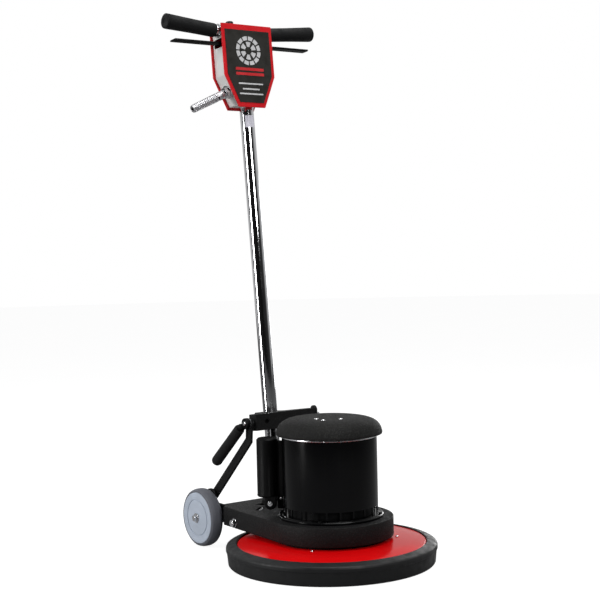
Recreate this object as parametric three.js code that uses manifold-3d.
// Rotary floor machine: a round scrubbing deck driven by a vertical motor through a
// planetary gearbox, two transport wheels and a folding operator handle.
// Millimetres. +Z is up, the front of the deck faces -Y, the operator stands at +Y.
// The origin is the centre of the floor pad's underside.
import * as THREE from 'three';
import { mergeVertices } from 'three/addons/utils/BufferGeometryUtils.js';
import Module from 'manifold-3d';

const wasm = await Module();
wasm.setup();

const rad = THREE.MathUtils.degToRad;
const gap = 0.3; // clearance between neighbouring pieces

// ---------- driving dimensions ----------
const deck = { radius: 201.7, rimBottom: 12, rimTop: 41.5, edge: 44, crown: 52, sheet: 3, hole: 46 };
const bumper = { bottom: 0.8, foot: 220.5, wall: 223, lip: 225, lipBottom: 29, lipTop: 38 };
const pad = { radius: 197, thickness: 14 };
const driver = { radius: 190, top: 30, plateTop: 35 };
const gear = { module: 2, sun: 9, planet: 36, ring: 81, bottom: 70.3, top: 84, backlash: 0.76 };
const chassis = {
  radius: 133, bottom: 58, top: 99, rearY: 262, wall: 7, footRadius: 121, bore: 91.3,
  carrierBore: 84, bearingBore: 34, earInner: 93.5, earOuter: 101.5, lugInner: 19, lugOuter: 27,
};
const motor = {
  flangeRadius: 112, flangeTop: 105, radius: 101, wall: 2.5, ventTop: 123.5, vents: 22, shellTop: 268.5,
  bandTop: 281, capRadius: 113, capRim: 273.5, capTop: 310,
};
const rotor = { shaft: 9, radius: 61, bottom: 150, top: 235 };
const capacitor = {
  x: -82, y: 113, radius: 23.6, bottom: 135, top: 262,
  lugRadius: 13, lugX: -11, lugZ: 122.5, lugOffset: 14, lugThickness: 7, ribBottom: 110,
};
const wheel = { radius: 65, hubRadius: 57.5, outer: 140, inner: 108, y: 313, axle: 6.2 };
const sideBoltAt = { x: 119, headX: 122.8, y: 188, z: 70 };
const pivot = { y: 197.3, z: 115, lean: rad(5.5), bolt: 5 };
const tube = { radius: 15.9, wall: 2, bottom: 9, top: 985 };
const yoke = { left: -79, half: 84, rodOffset: -43.7, rodAt: 169.6, height: 36, front: -56.5, back: 22, sheet: 4 };
const strut = {
  x: 88, width: 20, thickness: 6, bendY: 173, bendZ: 250, endY: 316, endZ: 112, tail: 14,
};
const lever = { x: 104.5, length: 150, grip: 12.2, gripFrom: 18, drop: rad(40.5) };
const box = { depth: 43, sheet: 2, top: 1061.5, shoulder: 947, bottom: 881, half: 62, foot: 30 };
const plate = { half: 68.2, foot: 35.9, top: 1062.5, shoulder: 946.5, bottom: 874.5, thickness: 3 };
const bar = { radius: 11.1, rise: rad(5), centre: 1044, reach: 196 };
const grip = { inner: 71, outer: 201, radius: 15.6, endRadius: 17 };
const trigger = { half: 183, at: 1020, thickness: 5, depth: 20, pinY: 14, pinAt: 1004 };
const button = { x: -18, y: 15, radius: 9, top: 1078 };
const guard = { x: -46.6, at: 911.8, fall: rad(23.9), length: 107, radius: 10, wire: 4.6, turns: 14 };

// ---------- materials ----------
const material = (color, roughness, metalness) =>
  new THREE.MeshStandardMaterial({ color, roughness, metalness });
const redPaint = material(0xb80c10, 0.25, 0.1);
const blackPaint = material(0x2c2e2f, 0.75, 0.1);
const glossBlack = material(0x16181a, 0.25, 0.2);
const blackRubber = material(0x1b1b1c, 0.8, 0);
const tyreRubber = material(0x55585c, 0.85, 0);
const hubPlastic = material(0x9aa8b8, 0.5, 0);
const chrome = material(0xd8dade, 0.12, 1);
const greyMetal = material(0xc4c6c2, 0.45, 0.6);
const steel = material(0x8e9194, 0.4, 0.9);
const castIron = material(0x54585a, 0.6, 0.8);
const copper = material(0xa8602c, 0.5, 0.7);
const blackPlastic = material(0x202223, 0.5, 0);
const labelBlack = material(0x3a3936, 0.6, 0);
const padFibre = material(0x8c1a1a, 0.95, 0);

// ---------- solid helpers ----------
function toManifold(geometry) {
  const clean = geometry.clone();
  clean.deleteAttribute('normal');
  clean.deleteAttribute('uv');
  const merged = mergeVertices(clean, 1e-4);
  const mesh = new wasm.Mesh({
    numProp: 3,
    vertProperties: new Float32Array(merged.attributes.position.array),
    triVerts: new Uint32Array(merged.index.array),
  });
  return new wasm.Manifold(mesh);
}

function toGeometry(solid) {
  const mesh = solid.getMesh();
  const geometry = new THREE.BufferGeometry();
  geometry.setAttribute('position', new THREE.BufferAttribute(mesh.vertProperties, 3));
  geometry.setIndex(new THREE.BufferAttribute(mesh.triVerts, 1));
  geometry.computeVertexNormals();
  return geometry;
}

// first + added - removed
function combine(first, added, removed = []) {
  let solid = toManifold(first);
  for (const geometry of added) solid = solid.add(toManifold(geometry));
  for (const geometry of removed) solid = solid.subtract(toManifold(geometry));
  return toGeometry(solid);
}

const outline = (points) => new THREE.Shape(points.map(([u, v]) => new THREE.Vector2(u, v)));

function circle(radius, x = 0, y = 0) {
  return new THREE.Path().absarc(x, y, radius, 0, 2 * Math.PI, false);
}

const extrude = (shape, depth, segments) =>
  new THREE.ExtrudeGeometry(shape, { depth, bevelEnabled: false, curveSegments: segments });

// Outline in X and Y, from z0 up to z1.
const slabZ = (shape, z0, z1, segments = 12) => extrude(shape, z1 - z0, segments).translate(0, 0, z0);

// Outline in X and Z, from y0 back to y1.
const slabY = (shape, y0, y1, segments = 12) =>
  extrude(shape, y1 - y0, segments).rotateX(Math.PI / 2).translate(0, y1, 0);

// Outline in Y and Z, from x0 across to x1.
const slabX = (shape, x0, x1, segments = 12) =>
  extrude(shape, x1 - x0, segments).rotateY(Math.PI / 2).rotateX(Math.PI / 2).translate(x0, 0, 0);

// Profile of [radius, z] turned about Z.
function turned(profile, segments = 36) {
  const points = profile.map(([r, z]) => new THREE.Vector2(r, z));
  return new THREE.LatheGeometry(points, segments).rotateX(Math.PI / 2);
}

const ringProfile = (r0, r1, z0, z1) => [[r0, z0], [r1, z0], [r1, z1], [r0, z1], [r0, z0]];
const ring = (r0, r1, z0, z1, segments = 36) => turned(ringProfile(r0, r1, z0, z1), segments);
const disc = (r, z0, z1, segments = 36) => turned([[0, z0], [r, z0], [r, z1], [0, z1]], segments);
const alongX = (geometry) => geometry.rotateY(Math.PI / 2);
const alongY = (geometry) => geometry.rotateX(-Math.PI / 2);

const group = new THREE.Group();
const handle = new THREE.Group();
handle.position.set(0, pivot.y, pivot.z);
handle.rotation.x = -pivot.lean;
group.add(handle);

function add(name, geometry, look, parent = group) {
  const mesh = new THREE.Mesh(geometry, look);
  mesh.name = name;
  parent.add(mesh);
  return mesh;
}

// ---------- deck ----------
function apron() {
  const { radius, rimBottom, rimTop, edge, crown, sheet, hole } = deck;
  const profile = [
    [radius, rimBottom], [radius, rimTop], [radius - 2.2, edge], [170, 48], [125, crown],
    [hole, crown], [hole, crown - sheet], [125, crown - sheet], [169.5, 48 - sheet],
    [radius - 3.4, edge - sheet], [radius - sheet, rimTop - sheet], [radius - sheet, rimBottom],
    [radius, rimBottom],
  ];
  return turned(profile, 44);
}

// A tapered wall under an overhanging lip, with a shallow cone up to the disc.
function bumperRing() {
  const inner = deck.radius + gap;
  const { bottom, foot, wall, lip, lipBottom, lipTop } = bumper;
  return turned([
    [inner, bottom], [foot - 2, bottom], [foot, bottom + 1.5], [wall, lipBottom], [lip - 1.5, lipBottom + 1.2],
    [lip, lipBottom + 3], [lip, lipTop - 1.5], [lip - 1.4, lipTop + 1.6], [lip - 4, lipTop + 3.4],
    [inner + 1.5, 46], [inner, 45], [inner, bottom],
  ], 44);
}

add('deck_apron', apron(), redPaint);
add('bumper_ring', bumperRing(), blackRubber);

// ---------- gears ----------
// Straight-flanked teeth; inward is -1 for an internal ring.
function toothed(shape, teeth, phase, inward = 1) {
  const pitch = (gear.module * teeth) / 2;
  const addendum = 0.85 * gear.module;
  const dedendum = 1.1 * gear.module;
  const half = gear.backlash * gear.module * Math.PI / 4;
  const flank = Math.tan(rad(20));
  const tip = [pitch + inward * addendum, half - addendum * flank];
  const root = [pitch - inward * dedendum, half + dedendum * flank];
  const corners = [[root, -1], [tip, -1], [tip, 1], [root, 1]];
  for (let i = 0; i < teeth; i += 1) {
    const centre = phase + (2 * Math.PI * i) / teeth;
    for (const [[radius, width], side] of corners) {
      const a = centre + (side * width) / pitch;
      const point = [radius * Math.cos(a), radius * Math.sin(a)];
      if (i === 0 && side === -1 && radius === root[0]) shape.moveTo(...point);
      else shape.lineTo(...point);
    }
  }
  shape.closePath();
  return shape;
}

function ringGear() {
  const shape = new THREE.Shape().absarc(0, 0, chassis.bore - gap, 0, 2 * Math.PI, false);
  shape.holes.push(toothed(new THREE.Path(), gear.ring, 0, -1));
  return slabZ(shape, gear.bottom - 1, gear.top + 1, 22);
}

function planetGear() {
  const shape = toothed(new THREE.Shape(), gear.planet, Math.PI / gear.planet);
  shape.holes.push(circle(8 + gap));
  return slabZ(shape, gear.bottom, gear.top, 12);
}

const planetOrbit = (gear.module * (gear.sun + gear.planet)) / 2;
const planetAngles = [0, 1, 2].map((i) => (2 * Math.PI * i) / 3);

add('ring_gear', ringGear(), steel);
planetAngles.forEach((angle, i) => {
  const mesh = add(`planet_gear_${i + 1}`, planetGear(), steel);
  mesh.position.set(planetOrbit * Math.cos(angle), planetOrbit * Math.sin(angle), 0);
  mesh.rotation.z = angle;
});

// ---------- planet carrier, pad driver and pad ----------
function planetCarrier() {
  const pins = planetAngles.map((angle) => disc(8, gear.bottom - 2, gear.top + 1, 20)
    .translate(planetOrbit * Math.cos(angle), planetOrbit * Math.sin(angle), 0));
  const hub = disc(20, 40, gear.bottom - 5, 30);
  const lugs = disc(34, driver.plateTop + gap, 41, 30);
  const spigot = disc(23.5, 22, 36, 30);
  return combine(disc(60, gear.bottom - 7, gear.bottom - 0.9), [...pins, hub, lugs, spigot]);
}

function padDriver() {
  const profile = [
    [24, pad.thickness + gap], [driver.radius, pad.thickness + gap], [driver.radius, 26],
    [driver.radius - 6, driver.top], [62, driver.top], [60, driver.plateTop],
    [24, driver.plateTop], [24, pad.thickness + gap],
  ];
  return turned(profile);
}

add('planet_carrier', planetCarrier(), steel);
add('pad_driver', padDriver(), blackPlastic);
add('floor_pad', disc(pad.radius, 0, pad.thickness), padFibre);
add('output_bearing', ring(20 + gap, 33.7, 52.6, 62.9, 30), steel);

// ---------- chassis ----------
// The housing is a round gear case in front that tapers back to the wheels.
function chassisOutline(inset) {
  const shape = new THREE.Shape();
  const r = chassis.radius - inset;
  const start = rad(176);
  shape.moveTo(-104 + inset, chassis.rearY - inset);
  shape.lineTo(-104 + inset, 250 - inset);
  shape.lineTo(-119 + inset, 236 - inset);
  shape.absarc(0, 0, r, start, Math.PI - start, false);
  shape.lineTo(119 - inset, 236 - inset);
  shape.lineTo(104 - inset, 250 - inset);
  shape.lineTo(104 - inset, chassis.rearY - inset);
  return shape;
}

function rearPocket() {
  const w = chassis.wall;
  return outline([
    [-97, chassis.rearY - w], [-97, 246], [-111, 232], [-118, 122], [118, 122], [111, 232],
    [97, 246], [97, chassis.rearY - w],
  ]);
}

const earOutline = [
  [245, 60], [300, 49], [326, 50], [342, 66], [338, 112], [326, 126], [308, 126], [299, 116], [299, 99],
  [245, 98],
];

function chassisHousing() {
  const { bottom, top, bore, carrierBore, bearingBore, footRadius } = chassis;
  const body = slabZ(chassisOutline(0), bottom, top - 2, 12);
  const brow = slabZ(chassisOutline(2), top - 3, top, 12);
  const foot = disc(footRadius, deck.crown + gap, bottom + 2, 44);
  const gearBore = disc(bore, gear.bottom - 1.3, top + 1, 44);
  const pocket = slabZ(rearPocket(), bottom - 1, top - chassis.wall);
  const added = [brow, foot];
  const removed = [gearBore, disc(carrierBore, 63, 80), disc(bearingBore, 50, 70, 30)];
  const lugShape = outline([
    [pivot.y - 24, top - 4], [pivot.y + 24, top - 4], [pivot.y + 14, pivot.z + 4], [pivot.y + 8, pivot.z + 13],
    [pivot.y - 8, pivot.z + 13], [pivot.y - 14, pivot.z + 4],
  ]);
  for (const side of [-1, 1]) {
    const mirrored = (...ends) => ends.map((x) => side * x).sort((a, b) => a - b);
    added.push(
      slabX(outline(earOutline), ...mirrored(chassis.earInner, chassis.earOuter)),
      slabX(lugShape, ...mirrored(chassis.lugInner, chassis.lugOuter)),
    );
    removed.push(
      ...recesses.map((corners) => recess(corners, side)),
      alongX(disc(4 + gap, -15, 15, 16)).translate(side * sideBoltAt.x, sideBoltAt.y, sideBoltAt.z),
    );
  }
  removed.push(
    pocket,
    alongX(disc(wheel.axle + gap, -110, 110, 24)).translate(0, wheel.y, wheel.radius),
    alongX(disc(pivot.bolt + gap, -40, 40, 20)).translate(0, pivot.y, pivot.z),
    slabX(outline([[170, 96], [228, 96], [228, 102], [170, 102]]), -18.6, 18.6),
  );
  return combine(body, added, removed);
}

// Shallow casting recesses in the top, mirrored about the middle: one beside each pivot lug
// and one slanting past the motor flange.
const recesses = [
  [[30, 209], [40, 179], [54, 207]],
  [[55, 167], [81, 143], [91, 152], [65, 176]],
];

function recess(corners, side) {
  const points = corners.map(([x, y]) => [side * x, y]);
  return slabZ(outline(side < 0 ? points.reverse() : points), chassis.top - 4, chassis.top + 1);
}

add('chassis_housing', chassisHousing(), blackPaint);

function sideBolt(side) {
  const head = new THREE.CylinderGeometry(9.5, 9.5, 7, 6).rotateZ(Math.PI / 2).translate(3.5, 0, 0);
  const shank = alongX(disc(4, -10, 1, 16));
  const bolt = combine(head, [shank]);
  return side < 0 ? bolt.rotateZ(Math.PI) : bolt;
}

for (const [name, side] of [['left', -1], ['right', 1]]) {
  const { headX, y, z } = sideBoltAt;
  add(`side_bolt_${name}`, sideBolt(side), chrome).position.set(side * headX, y, z);
}

// ---------- motor ----------
function motorFlange() {
  const { flangeRadius, flangeTop } = motor;
  const z = chassis.top + gap;
  return turned([
    [18, z], [flangeRadius, z], [flangeRadius, flangeTop - 1.5], [flangeRadius - 1.5, flangeTop],
    [30, flangeTop], [30, flangeTop + 6], [18, flangeTop + 6], [18, z],
  ]);
}

// The shell stands on narrow feet; the gaps between them are the air inlets.
function motorShell() {
  const { radius, wall, flangeTop, ventTop, vents, shellTop } = motor;
  const pitch = (2 * Math.PI) / vents;
  const footWidth = 3.5;
  const slots = [];
  for (let i = 0; i < vents / 2; i += 1) {
    const width = radius * pitch - footWidth;
    slots.push(new THREE.BoxGeometry(2 * radius + 10, width, 40).translate(0, 0, ventTop - 20)
      .rotateZ(rad(235.6) + i * pitch));
  }
  const feet = ring(radius - wall, radius, flangeTop + gap, ventTop + 4, 44);
  return combine(ring(radius - wall, radius, ventTop - 2, shellTop, 44), [feet], slots);
}

const screwSpots = [[197, 46], [221, 60], [262, 50]].map(([angle, radius]) => (
  [radius * Math.cos(rad(angle)), radius * Math.sin(rad(angle))]));

function endBell() {
  const z = motor.bandTop + gap;
  const bell = turned([
    [18, z - 12], [26, z - 12], [30, z], [motor.radius, z], [motor.radius, z + 3], [18, z + 3], [18, z - 12],
  ]);
  const posts = screwSpots.map(([x, y]) => disc(5, z + 2, motor.capTop - 7, 16).translate(x, y, 0));
  const bores = screwSpots.map(([x, y]) => disc(2 + gap, motor.capTop - 20, motor.capTop, 10).translate(x, y, 0));
  return combine(bell, posts, bores);
}

function motorCap() {
  const { capRadius, capRim, capTop } = motor;
  const profile = [
    [0, capTop], [45, capTop - 0.3], [72, capTop - 1.6], [90, capTop - 5], [101, capTop - 10.5],
    [108, capTop - 18.5], [112, capTop - 28], [capRadius, capRim + 3], [capRadius, capRim],
    [capRadius - 2.5, capRim], [109.6, capTop - 28.5], [105.7, capTop - 19.6], [99, capTop - 12.5],
    [88.6, capTop - 7.6], [71, capTop - 4.2], [45, capTop - 2.9], [0, capTop - 2.6],
  ];
  const holes = screwSpots.map(([x, y]) => disc(2 + gap, capTop - 16, capTop + 4, 10).translate(x, y, 0));
  return combine(turned(profile.reverse()), [], holes);
}

function capScrew() {
  const head = turned([[0, 0], [4.2, 0], [4.2, 1.2], [2.6, 2.4], [0, 2.6]], 16);
  return combine(head, [disc(2, -16, 1, 10)]);
}

add('motor_flange', motorFlange(), blackPaint);
add('lower_motor_bearing', ring(rotor.shaft + gap, 17.7, 99.6, 110.7, 24), steel);
add('motor_shell', motorShell(), glossBlack);
add('motor_band', ring(motor.radius - motor.wall, motor.radius + 1.2, motor.shellTop + gap, motor.bandTop), chrome);
add('end_bell', endBell(), castIron);
add('upper_motor_bearing', ring(rotor.shaft + gap, 17.7, 270, 283.6, 24), steel);
add('motor_cap', motorCap(), blackPaint);
screwSpots.forEach(([x, y], i) => {
  add(`cap_screw_${i + 1}`, capScrew(), chrome).position.set(x, y, motor.capTop + gap);
});

function statorWinding() {
  return turned([
    [62.3, 128], [84, 128], [88, 134], [86, 149.7], [66, 149.7], [66, 235.3], [86, 235.3],
    [88, 251], [84, 257], [62.3, 257], [62.3, 128],
  ], 36);
}

function motorShaft() {
  const pinion = slabZ(toothed(new THREE.Shape(), gear.sun, 0), gear.bottom, gear.top + 1);
  return combine(disc(rotor.shaft, 87, 300, 24), [pinion, disc(6, gear.top - 2, 90, 16)]);
}

function coolingFan() {
  const blades = [];
  for (let i = 0; i < 7; i += 1) {
    blades.push(new THREE.BoxGeometry(26, 2, 12).rotateX(rad(18)).translate(24, 0, 291.5)
      .rotateZ((2 * Math.PI * i) / 7));
  }
  return combine(disc(15, 284, 297, 24), blades, [disc(rotor.shaft + gap, 280, 300, 24)]);
}

add('stator_core', ring(66.3, motor.radius - motor.wall - gap, rotor.bottom, rotor.top, 36), steel);
add('stator_winding', statorWinding(), copper);
add('motor_shaft', motorShaft(), steel);
add('rotor_core', ring(rotor.shaft + gap, rotor.radius, rotor.bottom, rotor.top, 36), castIron);
add('cooling_fan', coolingFan(), blackPlastic);

// ---------- capacitor can beside the motor ----------
// A rib ties the can to the motor, and a round-ended lug below it takes the fixing bolt.
function capacitorCover() {
  const { radius, bottom, top, ribBottom } = capacitor;
  const can = turned([
    [0, top], [radius - 4, top], [radius, top - 4], [radius, bottom], [15, bottom], [15, bottom + 1.5],
    [radius - 1.5, bottom + 1.5], [radius - 1.5, top - 4], [radius - 5, top - 1.5], [0, top - 1.5],
  ].reverse(), 32);
  const reach = Math.hypot(capacitor.x, capacitor.y) - motor.radius - gap - 1.5;
  const rib = new THREE.BoxGeometry(reach - radius + 1.5, 12, top - 6 - ribBottom)
    .translate(-(reach + radius) / 2, 0, (ribBottom + top - 6) / 2);
  const { lugRadius, lugX, lugZ, lugOffset, lugThickness } = capacitor;
  const lug = alongY(disc(lugRadius, 0, lugThickness, 24)).translate(lugX, lugOffset, lugZ);
  const neck = new THREE.BoxGeometry(2 * lugRadius, lugThickness, bottom + 1 - lugZ)
    .translate(lugX, lugOffset + lugThickness / 2, (lugZ + bottom + 1) / 2);
  const solid = combine(can, [rib, lug, neck]);
  return solid.rotateZ(Math.atan2(capacitor.y, capacitor.x));
}

add('capacitor_cover', capacitorCover(), blackPaint).position.set(capacitor.x, capacitor.y, 0);
add('start_capacitor', disc(20, capacitor.bottom + 5, capacitor.top - 12, 24), blackPlastic)
  .position.set(capacitor.x, capacitor.y, 0);

// ---------- wheels ----------
function tyre() {
  const { radius, hubRadius, outer, inner } = wheel;
  return turned([
    [hubRadius + gap, inner + 2], [radius - 5, inner + 2], [radius - 1, inner + 6], [radius, inner + 12],
    [radius, outer - 10], [radius - 1.2, outer - 5], [radius - 4.5, outer - 1], [hubRadius + gap, outer],
    [hubRadius + gap, inner + 2],
  ], 28);
}

function wheelHub() {
  const { hubRadius, outer, inner, axle } = wheel;
  return turned([
    [axle + gap, inner], [20, inner], [24, inner + 8], [48, inner + 8], [hubRadius, inner + 3],
    [hubRadius, outer], [40, outer], [38.5, outer - 2], [37, outer], [16, outer + 1.5],
    [axle + gap, outer + 1.5], [axle + gap, inner],
  ], 28);
}

function axleCap() {
  return turned([[0, 0], [10, 0], [10, 2], [7, 5.5], [0, 7]], 24);
}

for (const [name, side] of [['left', -1], ['right', 1]]) {
  const place = (mesh) => {
    mesh.position.set(0, wheel.y, wheel.radius);
    mesh.rotation.y = (side * Math.PI) / 2;
  };
  place(add(`tyre_${name}`, tyre(), tyreRubber));
  place(add(`wheel_hub_${name}`, wheelHub(), hubPlastic));
  place(add(`axle_cap_${name}`, axleCap().translate(0, 0, wheel.outer + 2.2), chrome));
}
add('wheel_axle', alongX(disc(wheel.axle, -141, 141, 24)), steel)
  .position.set(0, wheel.y, wheel.radius);

// ---------- handle tube and its pivot ----------
function handleTube() {
  const sleeve = alongX(disc(13, -18, 18, 28));
  const shaft = disc(tube.radius, tube.bottom, tube.top, 20);
  const hollow = disc(tube.radius - tube.wall, 22, tube.top + 1, 20);
  return combine(sleeve, [shaft], [hollow, alongX(disc(pivot.bolt + gap, -20, 20, 20))]);
}

function pivotBolt() {
  const head = alongX(disc(9.5, -34, -27.6, 24));
  const nut = alongX(disc(9, 27.6, 34, 6));
  return combine(alongX(disc(pivot.bolt, -33, 33, 20)), [head, nut]);
}

add('handle_tube', handleTube(), chrome, handle);
add('handle_pivot_bolt', pivotBolt(), chrome).position.set(0, pivot.y, pivot.z);

// ---------- yoke, struts and cam lock ----------
function handleYoke() {
  const { left, half, rodAt, height, front, back, sheet } = yoke;
  const low = rodAt - height / 2;
  const flangeShape = () => {
    const shape = outline([
      [left, front], [half, front], [half, -30], [28, -12], [28, back], [-28, back], [-28, -12], [left, -30],
    ]);
    shape.holes.push(circle(tube.radius + gap));
    return shape;
  };
  const web = new THREE.BoxGeometry(half - left, sheet, height)
    .translate((half + left) / 2, front + sheet / 2, rodAt);
  const backPlate = new THREE.BoxGeometry(56, sheet, height).translate(0, back - sheet / 2, rodAt);
  const flanges = [low, low + height - sheet].map((z) => slabZ(flangeShape(), z, z + sheet, 10));
  const cheeks = [left + sheet / 2, half - sheet / 2].map((x) => new THREE.BoxGeometry(sheet, 26, height)
    .translate(x, front + 13, rodAt));
  const rodHole = alongX(disc(5 + gap, -100, 100, 20)).translate(0, yoke.rodOffset, rodAt);
  return combine(web, [backPlate, ...flanges, ...cheeks], [rodHole]);
}

function clampRod() {
  const nut = alongX(disc(9, 92, 100, 6));
  return combine(alongX(disc(5, -104, 99, 20)), [nut]);
}

add('handle_yoke', handleYoke(), blackPaint, handle);
add('clamp_rod', clampRod(), chrome, handle).position.set(0, yoke.rodOffset, yoke.rodAt);

// World place of the clamp rod, about which the struts and the lever turn.
const rodPoint = new THREE.Vector3(0, yoke.rodOffset, yoke.rodAt)
  .applyAxisAngle(new THREE.Vector3(1, 0, 0), -pivot.lean)
  .add(handle.position);

// Flat bar with a round eye at each end and a bend below the upper eye. The right one carries on
// past the rod.
function strutBar(side) {
  const eye = [rodPoint.y, rodPoint.z];
  const bend = [strut.bendY, strut.bendZ];
  const foot = [strut.endY, strut.endZ];
  const x = side * strut.x;
  const across = (radius, reach) => alongX(disc(radius, -reach, reach, 16)).translate(x, 0, 0);
  const plank = ([y0, z0], [y1, z1]) => {
    const length = Math.hypot(y1 - y0, z1 - z0);
    return new THREE.BoxGeometry(strut.thickness, length, strut.width)
      .rotateX(Math.atan2(z1 - z0, y1 - y0))
      .translate(x, (y0 + y1) / 2, (z0 + z1) / 2);
  };
  const round = (at, radius) => across(radius, strut.thickness / 2).translate(0, ...at);
  const pin = across(5, strut.thickness / 2 + 2).translate(0, ...foot);
  const added = [plank(bend, foot), round(eye, 11), round(bend, strut.width / 2), round(foot, 11), pin];
  if (side > 0) {
    const reach = strut.tail / Math.hypot(eye[0] - bend[0], eye[1] - bend[1]);
    const tail = eye.map((value, i) => value + reach * (value - bend[i]));
    added.push(plank(eye, tail), round(tail, strut.width / 2));
  }
  return combine(plank(eye, bend), added, [across(5 + gap, strut.thickness).translate(0, ...eye)]);
}

for (const [name, side] of [['left', -1], ['right', 1]]) {
  add(`strut_${name}`, strutBar(side), blackPaint);
}

// The lever hangs back and down from the rod; its cam bears on the left strut.
function lockLever() {
  const cam = alongX(disc(12, -lever.x + 3, -92, 28));
  const arm = new THREE.BoxGeometry(6, 12.5, 12).translate(-lever.x + 6, 11.3, 0);
  const stem = alongY(disc(5, 8, lever.length - 6, 20)).translate(-lever.x, 0, 0);
  const bore = alongX(disc(5 + gap, -140, -80, 20));
  return combine(cam, [arm, stem], [bore]);
}

function leverGrip() {
  const { grip: radius, gripFrom, length } = lever;
  return alongY(turned([
    [5 + gap, gripFrom], [radius - 1.5, gripFrom], [radius, gripFrom + 2], [radius, length - 3],
    [radius - 3, length], [0, length], [0, length - 5], [5 + gap, length - 5], [5 + gap, gripFrom],
  ], 24)).translate(-lever.x, 0, 0);
}

for (const [name, geometry, look] of [
  ['lock_lever', lockLever(), blackPaint], ['lever_grip', leverGrip(), blackRubber],
]) {
  const mesh = add(name, geometry, look);
  mesh.position.copy(rodPoint);
  mesh.rotation.x = -lever.drop;
}

// ---------- switch box at the top of the handle ----------
const shield = (half, foot, top, shoulder, bottom) => (
  outline([[-foot, bottom], [foot, bottom], [half, shoulder], [half, top], [-half, top], [-half, shoulder]]));

function switchBox() {
  const { depth, sheet, top, shoulder, bottom, half, foot } = box;
  const shape = shield(half, foot, top, shoulder, bottom);
  const inside = shield(half - sheet, foot - sheet * 0.8, top - 1.5, shoulder + 0.4, bottom + sheet);
  shape.holes.push(new THREE.Path(inside.getPoints()));
  const removed = [
    disc(tube.radius + gap, bottom - 5, bottom + 10, 28),
    disc(3 + gap, top - 10, top + 5, 16).translate(button.x, button.y, 0),
    disc(9, -20, 20, 20).rotateY(-Math.PI / 2 - guard.fall).translate(guard.x, 0, guard.at),
    alongX(disc(2 + gap, -80, 80, 16)).translate(0, trigger.pinY, trigger.pinAt),
    new THREE.BoxGeometry(2 * half + 10, trigger.depth + 14, 18).translate(0, 0, trigger.at + 1),
  ];
  for (const side of [-1, 1]) {
    const at = bar.centre + half * Math.tan(bar.rise);
    removed.push(alongX(disc(bar.radius + 1, -8, 8, 28)).translate(side * half, 0, at));
  }
  return combine(slabY(shape, -depth / 2, depth / 2), [], removed);
}

const plateOutline = shield(plate.half, plate.foot, plate.top, plate.shoulder, plate.bottom);
const plateFront = -box.depth / 2 - gap - plate.thickness;
add('switch_box', switchBox(), greyMetal, handle);
add('front_plate', slabY(plateOutline, plateFront, plateFront + plate.thickness), redPaint, handle);
add('rear_plate', slabY(plateOutline, -plateFront - plate.thickness, -plateFront), redPaint, handle);
add('label_panel', slabY(shield(60, 32.2, 1049.5, 948, 885), plateFront - 1.1, plateFront - gap),
  labelBlack, handle);
add('power_switch', new THREE.BoxGeometry(30, 24, 32).translate(36, -4, 966), blackPlastic, handle);

// ---------- handlebar, grips and trigger ----------
const onBar = (geometry, side) => geometry.rotateY(side * (Math.PI / 2 - bar.rise)).translate(0, 0, bar.centre);

function handlebar() {
  const halves = [-1, 1].map((side) => onBar(disc(bar.radius, -1, bar.reach, 16), side));
  const collars = [-1, 1].map((side) => onBar(disc(bar.radius + 2.6, 64.5, grip.inner - gap, 16), side));
  const hollows = [-1, 1].map((side) => onBar(disc(bar.radius - 2, 4, bar.reach + 1, 16), side));
  return combine(halves[0], [halves[1], ...collars], hollows);
}

function handGrip(side) {
  const { inner, outer, radius, endRadius } = grip;
  const bore = bar.radius + gap;
  return onBar(turned([
    [bore, inner], [radius - 1, inner], [radius, inner + 3], [radius, outer - 70], [endRadius, outer - 8],
    [endRadius - 1.5, outer - 1.5], [endRadius - 5, outer], [0, outer], [0, outer - 4], [bore, outer - 4],
    [bore, inner],
  ], 20), side);
}

add('handlebar', handlebar(), chrome, handle);
add('grip_left', handGrip(-1), blackRubber, handle);
add('grip_right', handGrip(1), blackRubber, handle);

function triggerBar() {
  const { half, at, thickness, depth, pinY, pinAt } = trigger;
  const low = at - thickness / 2;
  const high = at + thickness / 2;
  const blade = outline([
    [-half, low], [half - 4, low], [half, at], [half, high], [4 - half, high], [-half, at],
  ]);
  const web = slabX(outline([
    [-depth / 2 + 2, low + 1], [pinY - 3, pinAt - 3], [pinY + 3, pinAt], [depth / 2, low + 1],
  ]), -30, 30);
  const pin = alongX(disc(2, -61.8, 61.8, 16)).translate(0, pinY, pinAt);
  return combine(slabY(blade, -depth / 2, depth / 2), [web, pin]);
}

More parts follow.
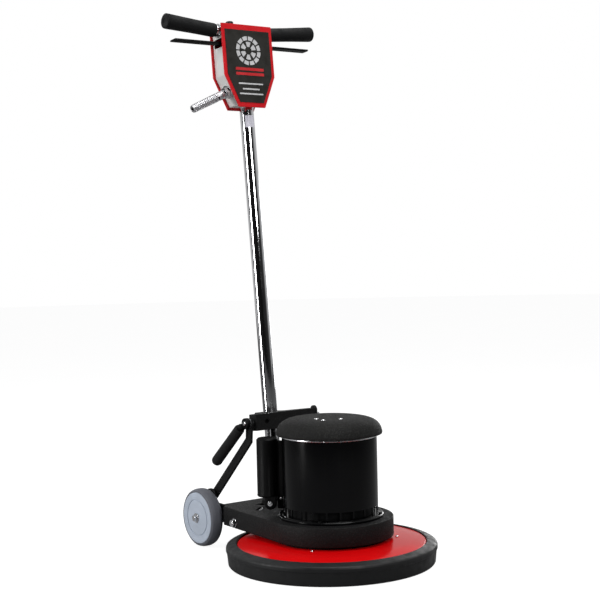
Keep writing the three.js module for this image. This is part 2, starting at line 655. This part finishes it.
function lockButton() {
  const { radius, top } = button;
  const cap = turned([
    [0, top - 3], [radius - 1.5, top - 10], [radius, top - 10], [radius, top - 1.5], [radius - 1.5, top],
    [0, top],
  ], 24);
  return combine(cap, [disc(3, top - 28, top - 1, 16)]);
}

class Helix extends THREE.Curve {
  constructor(radius, height, turns) {
    super();
    Object.assign(this, { radius, height, turns });
  }

  getPoint(t, target = new THREE.Vector3()) {
    const a = 2 * Math.PI * this.turns * t;
    return target.set(this.radius * Math.cos(a), this.radius * Math.sin(a), this.height * t);
  }
}

function coil(radius, height, turns, wire, stepsPerTurn, sides) {
  const section = new THREE.Shape();
  for (let i = 0; i < sides; i += 1) {
    const a = (2 * Math.PI * i) / sides;
    const point = [wire * Math.cos(a), wire * Math.sin(a)];
    if (i === 0) section.moveTo(...point);
    else section.lineTo(...point);
  }
  const path = new Helix(radius, height, turns);
  return new THREE.ExtrudeGeometry(section, { steps: stepsPerTurn * turns, extrudePath: path });
}

add('trigger_bar', triggerBar(), blackPaint, handle);
add('lock_button', lockButton(), blackPlastic, handle).position.set(button.x, button.y, 0);
add('button_spring', coil(4.2, 4.2, 3, 0.5, 10, 5), steel, handle)
  .position.set(button.x, button.y, box.top + 0.9);

// ---------- cord strain relief on the sloping left side of the box ----------
function glandNut() {
  const flats = new THREE.CylinderGeometry(13, 13, 9, 6).rotateX(Math.PI / 2).translate(0, 0, 9);
  const washer = disc(15, gap + 1.2, 5, 28);
  return combine(flats, [washer, disc(8.6, -8, 3, 24)], [disc(5.5, -10, 20, 20)]);
}

function cordGuard() {
  const turn = guard.radius - guard.wire / 2;
  return coil(turn, guard.length - 20, guard.turns, guard.wire / 2, 8, 5).translate(0, 0, 16.5);
}

for (const [name, geometry, look] of [
  ['gland_nut', glandNut(), chrome],
  ['cord_guard_spring', cordGuard(), chrome],
  ['cord_stub', disc(4.2, -12, guard.length - 6, 12), blackRubber],
]) {
  const mesh = add(name, geometry, look, handle);
  mesh.position.set(guard.x, 0, guard.at);
  mesh.rotation.y = -Math.PI / 2 - guard.fall;
}

export default group;
